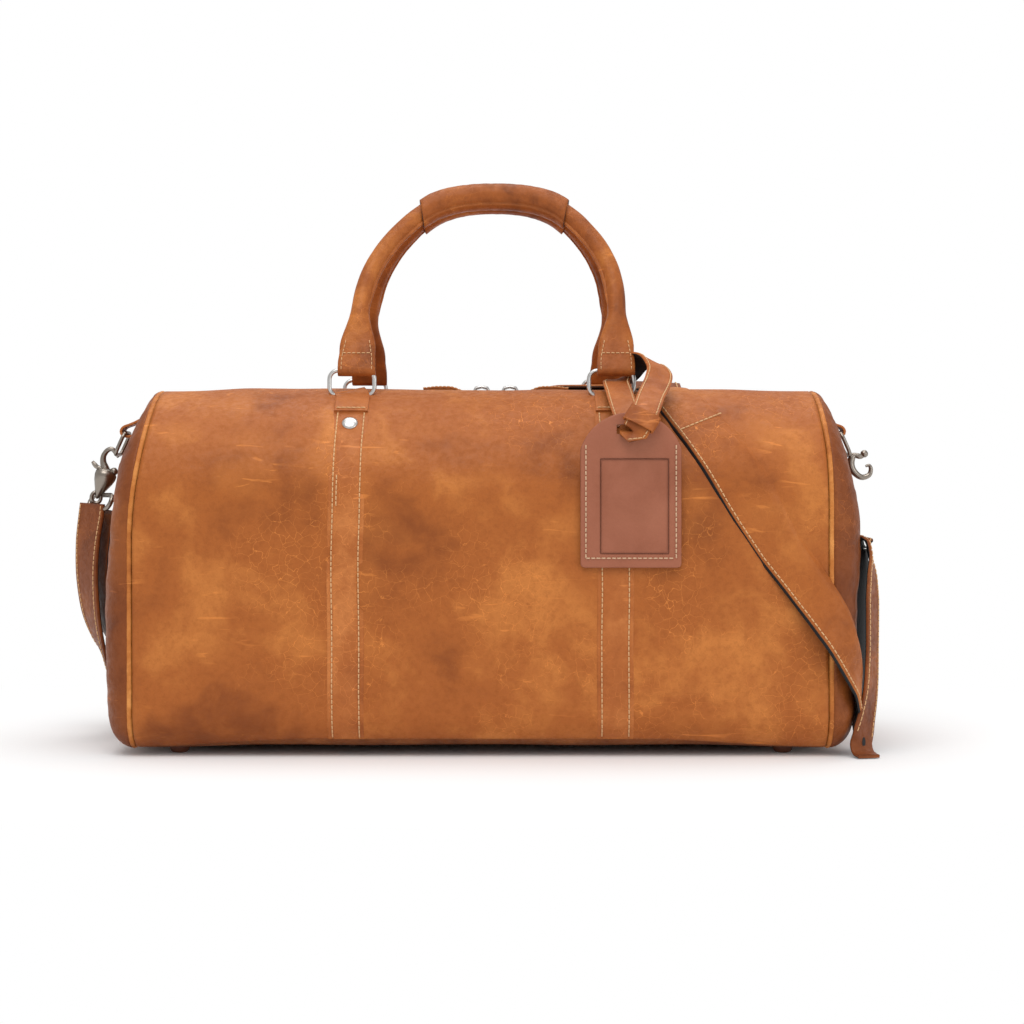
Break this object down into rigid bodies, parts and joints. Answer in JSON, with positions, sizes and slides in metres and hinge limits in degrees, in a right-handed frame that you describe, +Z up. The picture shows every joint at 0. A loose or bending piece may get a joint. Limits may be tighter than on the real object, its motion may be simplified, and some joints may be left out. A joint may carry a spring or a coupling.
{
  "type": "weekender bag",
  "caption": "Soft leather duffel with two top handles on rings, a centre zipper, a long shoulder strap, end hooks and a hanging luggage tag.",
  "frame": {"origin": "on the floor under the middle foot, at the centre of its flat", "axes": "+X along the bag to the right seen from the front, the front faces -Y, +Z up"},
  "size_m": [0.5983, 0.2634, 0.4156],
  "materials": {
    "body_leather": "pull-up leather, satin",
    "trim_leather": "pull-up leather, satin",
    "handle_leather": "pull-up leather, satin",
    "strap_leather": "pull-up leather, satin",
    "piping_leather": "pull-up leather, satin",
    "tag_leather": "smooth red-brown leather",
    "feet_leather": "dark leather",
    "lining_cloth": "woven",
    "zip_tape": "woven",
    "zip_coil": "matte",
    "board": "matte",
    "card": "matte",
    "core": "matte",
    "nickel": "polished nickel"
  },
  "bodies": {
    "bag": {"base_board": "board", "bottom_panel": "body_leather", "feet": "feet_leather", "foot_washers": "nickel", "front_left_keeper": "trim_leather", "front_left_strap": "trim_leather", "front_panel": "body_leather", "front_right_keeper": "trim_leather", "front_right_strap": "trim_leather", "front_zipper_coil": "zip_coil", "front_zipper_tape": "zip_tape", "left_end_panel": "body_leather", "left_end_tab": "trim_leather", "left_piping": "piping_leather", "lining": "lining_cloth", "rear_left_keeper": "trim_leather", "rear_left_strap": "trim_leather", "rear_panel": "body_leather", "rear_right_keeper": "trim_leather", "rear_right_strap": "trim_leather", "rear_zipper_coil": "zip_coil", "rear_zipper_tape": "zip_tape", "right_end_panel": "body_leather", "right_end_tab": "trim_leather", "right_piping": "piping_leather", "rivet_washers": "nickel", "shoulder_strap_end": "strap_leather", "shoulder_strap_front": "strap_leather", "shoulder_strap_rear": "strap_leather", "shoulder_strap_rise": "strap_leather", "strap_rivets": "nickel", "zipper_end_tabs": "trim_leather", "zipper_stops": "nickel"},
    "front_rings": {"front_left_ring": "nickel", "front_right_ring": "nickel"},
    "rear_rings": {"rear_left_ring": "nickel", "rear_right_ring": "nickel"},
    "front_handle": {"front_handle_cover": "handle_leather", "front_handle_core": "core", "front_grip": "handle_leather"},
    "rear_handle": {"rear_handle_cover": "handle_leather", "rear_handle_core": "core", "rear_grip": "handle_leather"},
    "left_slider": {"left_slider": "nickel"},
    "left_pull": {"left_pull_link": "nickel", "left_pull_tab": "trim_leather"},
    "right_slider": {"right_slider": "nickel"},
    "right_pull": {"right_pull_link": "nickel", "right_pull_tab": "trim_leather"},
    "luggage_tag": {"tag_back": "tag_leather", "tag_card": "card", "tag_front": "tag_leather", "tag_strap": "trim_leather"},
    "left_hook": {"left_d_ring": "nickel", "left_hook": "nickel", "strap_ring": "nickel", "shoulder_strap_left": "strap_leather"},
    "left_trigger": {"left_trigger": "nickel"},
    "right_ring": {"right_d_ring": "nickel"},
    "right_hook": {"right_hook": "nickel"}
  },
  "joints": [
    {"name": "front_ring_swing", "type": "hinge", "parent": "bag", "child": "front_rings", "pos_m": [0, -0.065, 0.25663], "axis": [1, 0, 0], "range_deg": [0, 30]},
    {"name": "front_handle_swing", "type": "hinge", "parent": "front_rings", "child": "front_handle", "pos_m": [0, -0.065, 0.27363], "axis": [1, 0, 0], "range_deg": [0, 70]},
    {"name": "rear_ring_swing", "type": "hinge", "parent": "bag", "child": "rear_rings", "pos_m": [0, 0.065, 0.25663], "axis": [-1, 0, 0], "range_deg": [0, 30]},
    {"name": "rear_handle_swing", "type": "hinge", "parent": "rear_rings", "child": "rear_handle", "pos_m": [0, 0.065, 0.27363], "axis": [-1, 0, 0], "range_deg": [0, 70]},
    {"name": "left_slider_slide", "type": "slide", "parent": "bag", "child": "left_slider", "axis": [-1, 0, 0], "range_m": [0, 0.178]},
    {"name": "left_pull_flip", "type": "hinge", "parent": "left_slider", "child": "left_pull", "pos_m": [-0.001, 0, 0.2592], "axis": [0, 1, 0], "range_deg": [0, 100]},
    {"name": "right_slider_slide", "type": "slide", "parent": "bag", "child": "right_slider", "axis": [1, 0, 0], "range_m": [0, 0.04]},
    {"name": "right_pull_flip", "type": "hinge", "parent": "right_slider", "child": "right_pull", "pos_m": [0.0205, 0, 0.2592], "axis": [0, -1, 0], "range_deg": [0, 100]},
    {"name": "tag_swing", "type": "hinge", "parent": "bag", "child": "luggage_tag", "pos_m": [0.1, -0.065, 0.26463], "axis": [-1, 0, 0], "range_deg": [0, 12]},
    {"name": "left_hook_swing", "type": "hinge", "parent": "bag", "child": "left_hook", "pos_m": [-0.2712, 0, 0.231], "axis": [0, 1, 0], "range_deg": [0, 10]},
    {"name": "left_trigger_slide", "type": "slide", "parent": "left_hook", "child": "left_trigger", "axis": [-0.4067, 0, -0.9135], "range_m": [0, 0.004], "stiffness_N_per_m": 300},
    {"name": "right_ring_swing", "type": "hinge", "parent": "bag", "child": "right_ring", "pos_m": [0.2712, 0, 0.231], "axis": [0, -1, 0], "range_deg": [-8, 60]},
    {"name": "right_hook_swing", "type": "hinge", "parent": "right_ring", "child": "right_hook", "pos_m": [0.27803, 0, 0.21565], "axis": [0, -1, 0], "range_deg": [0, 40]}
  ]
}
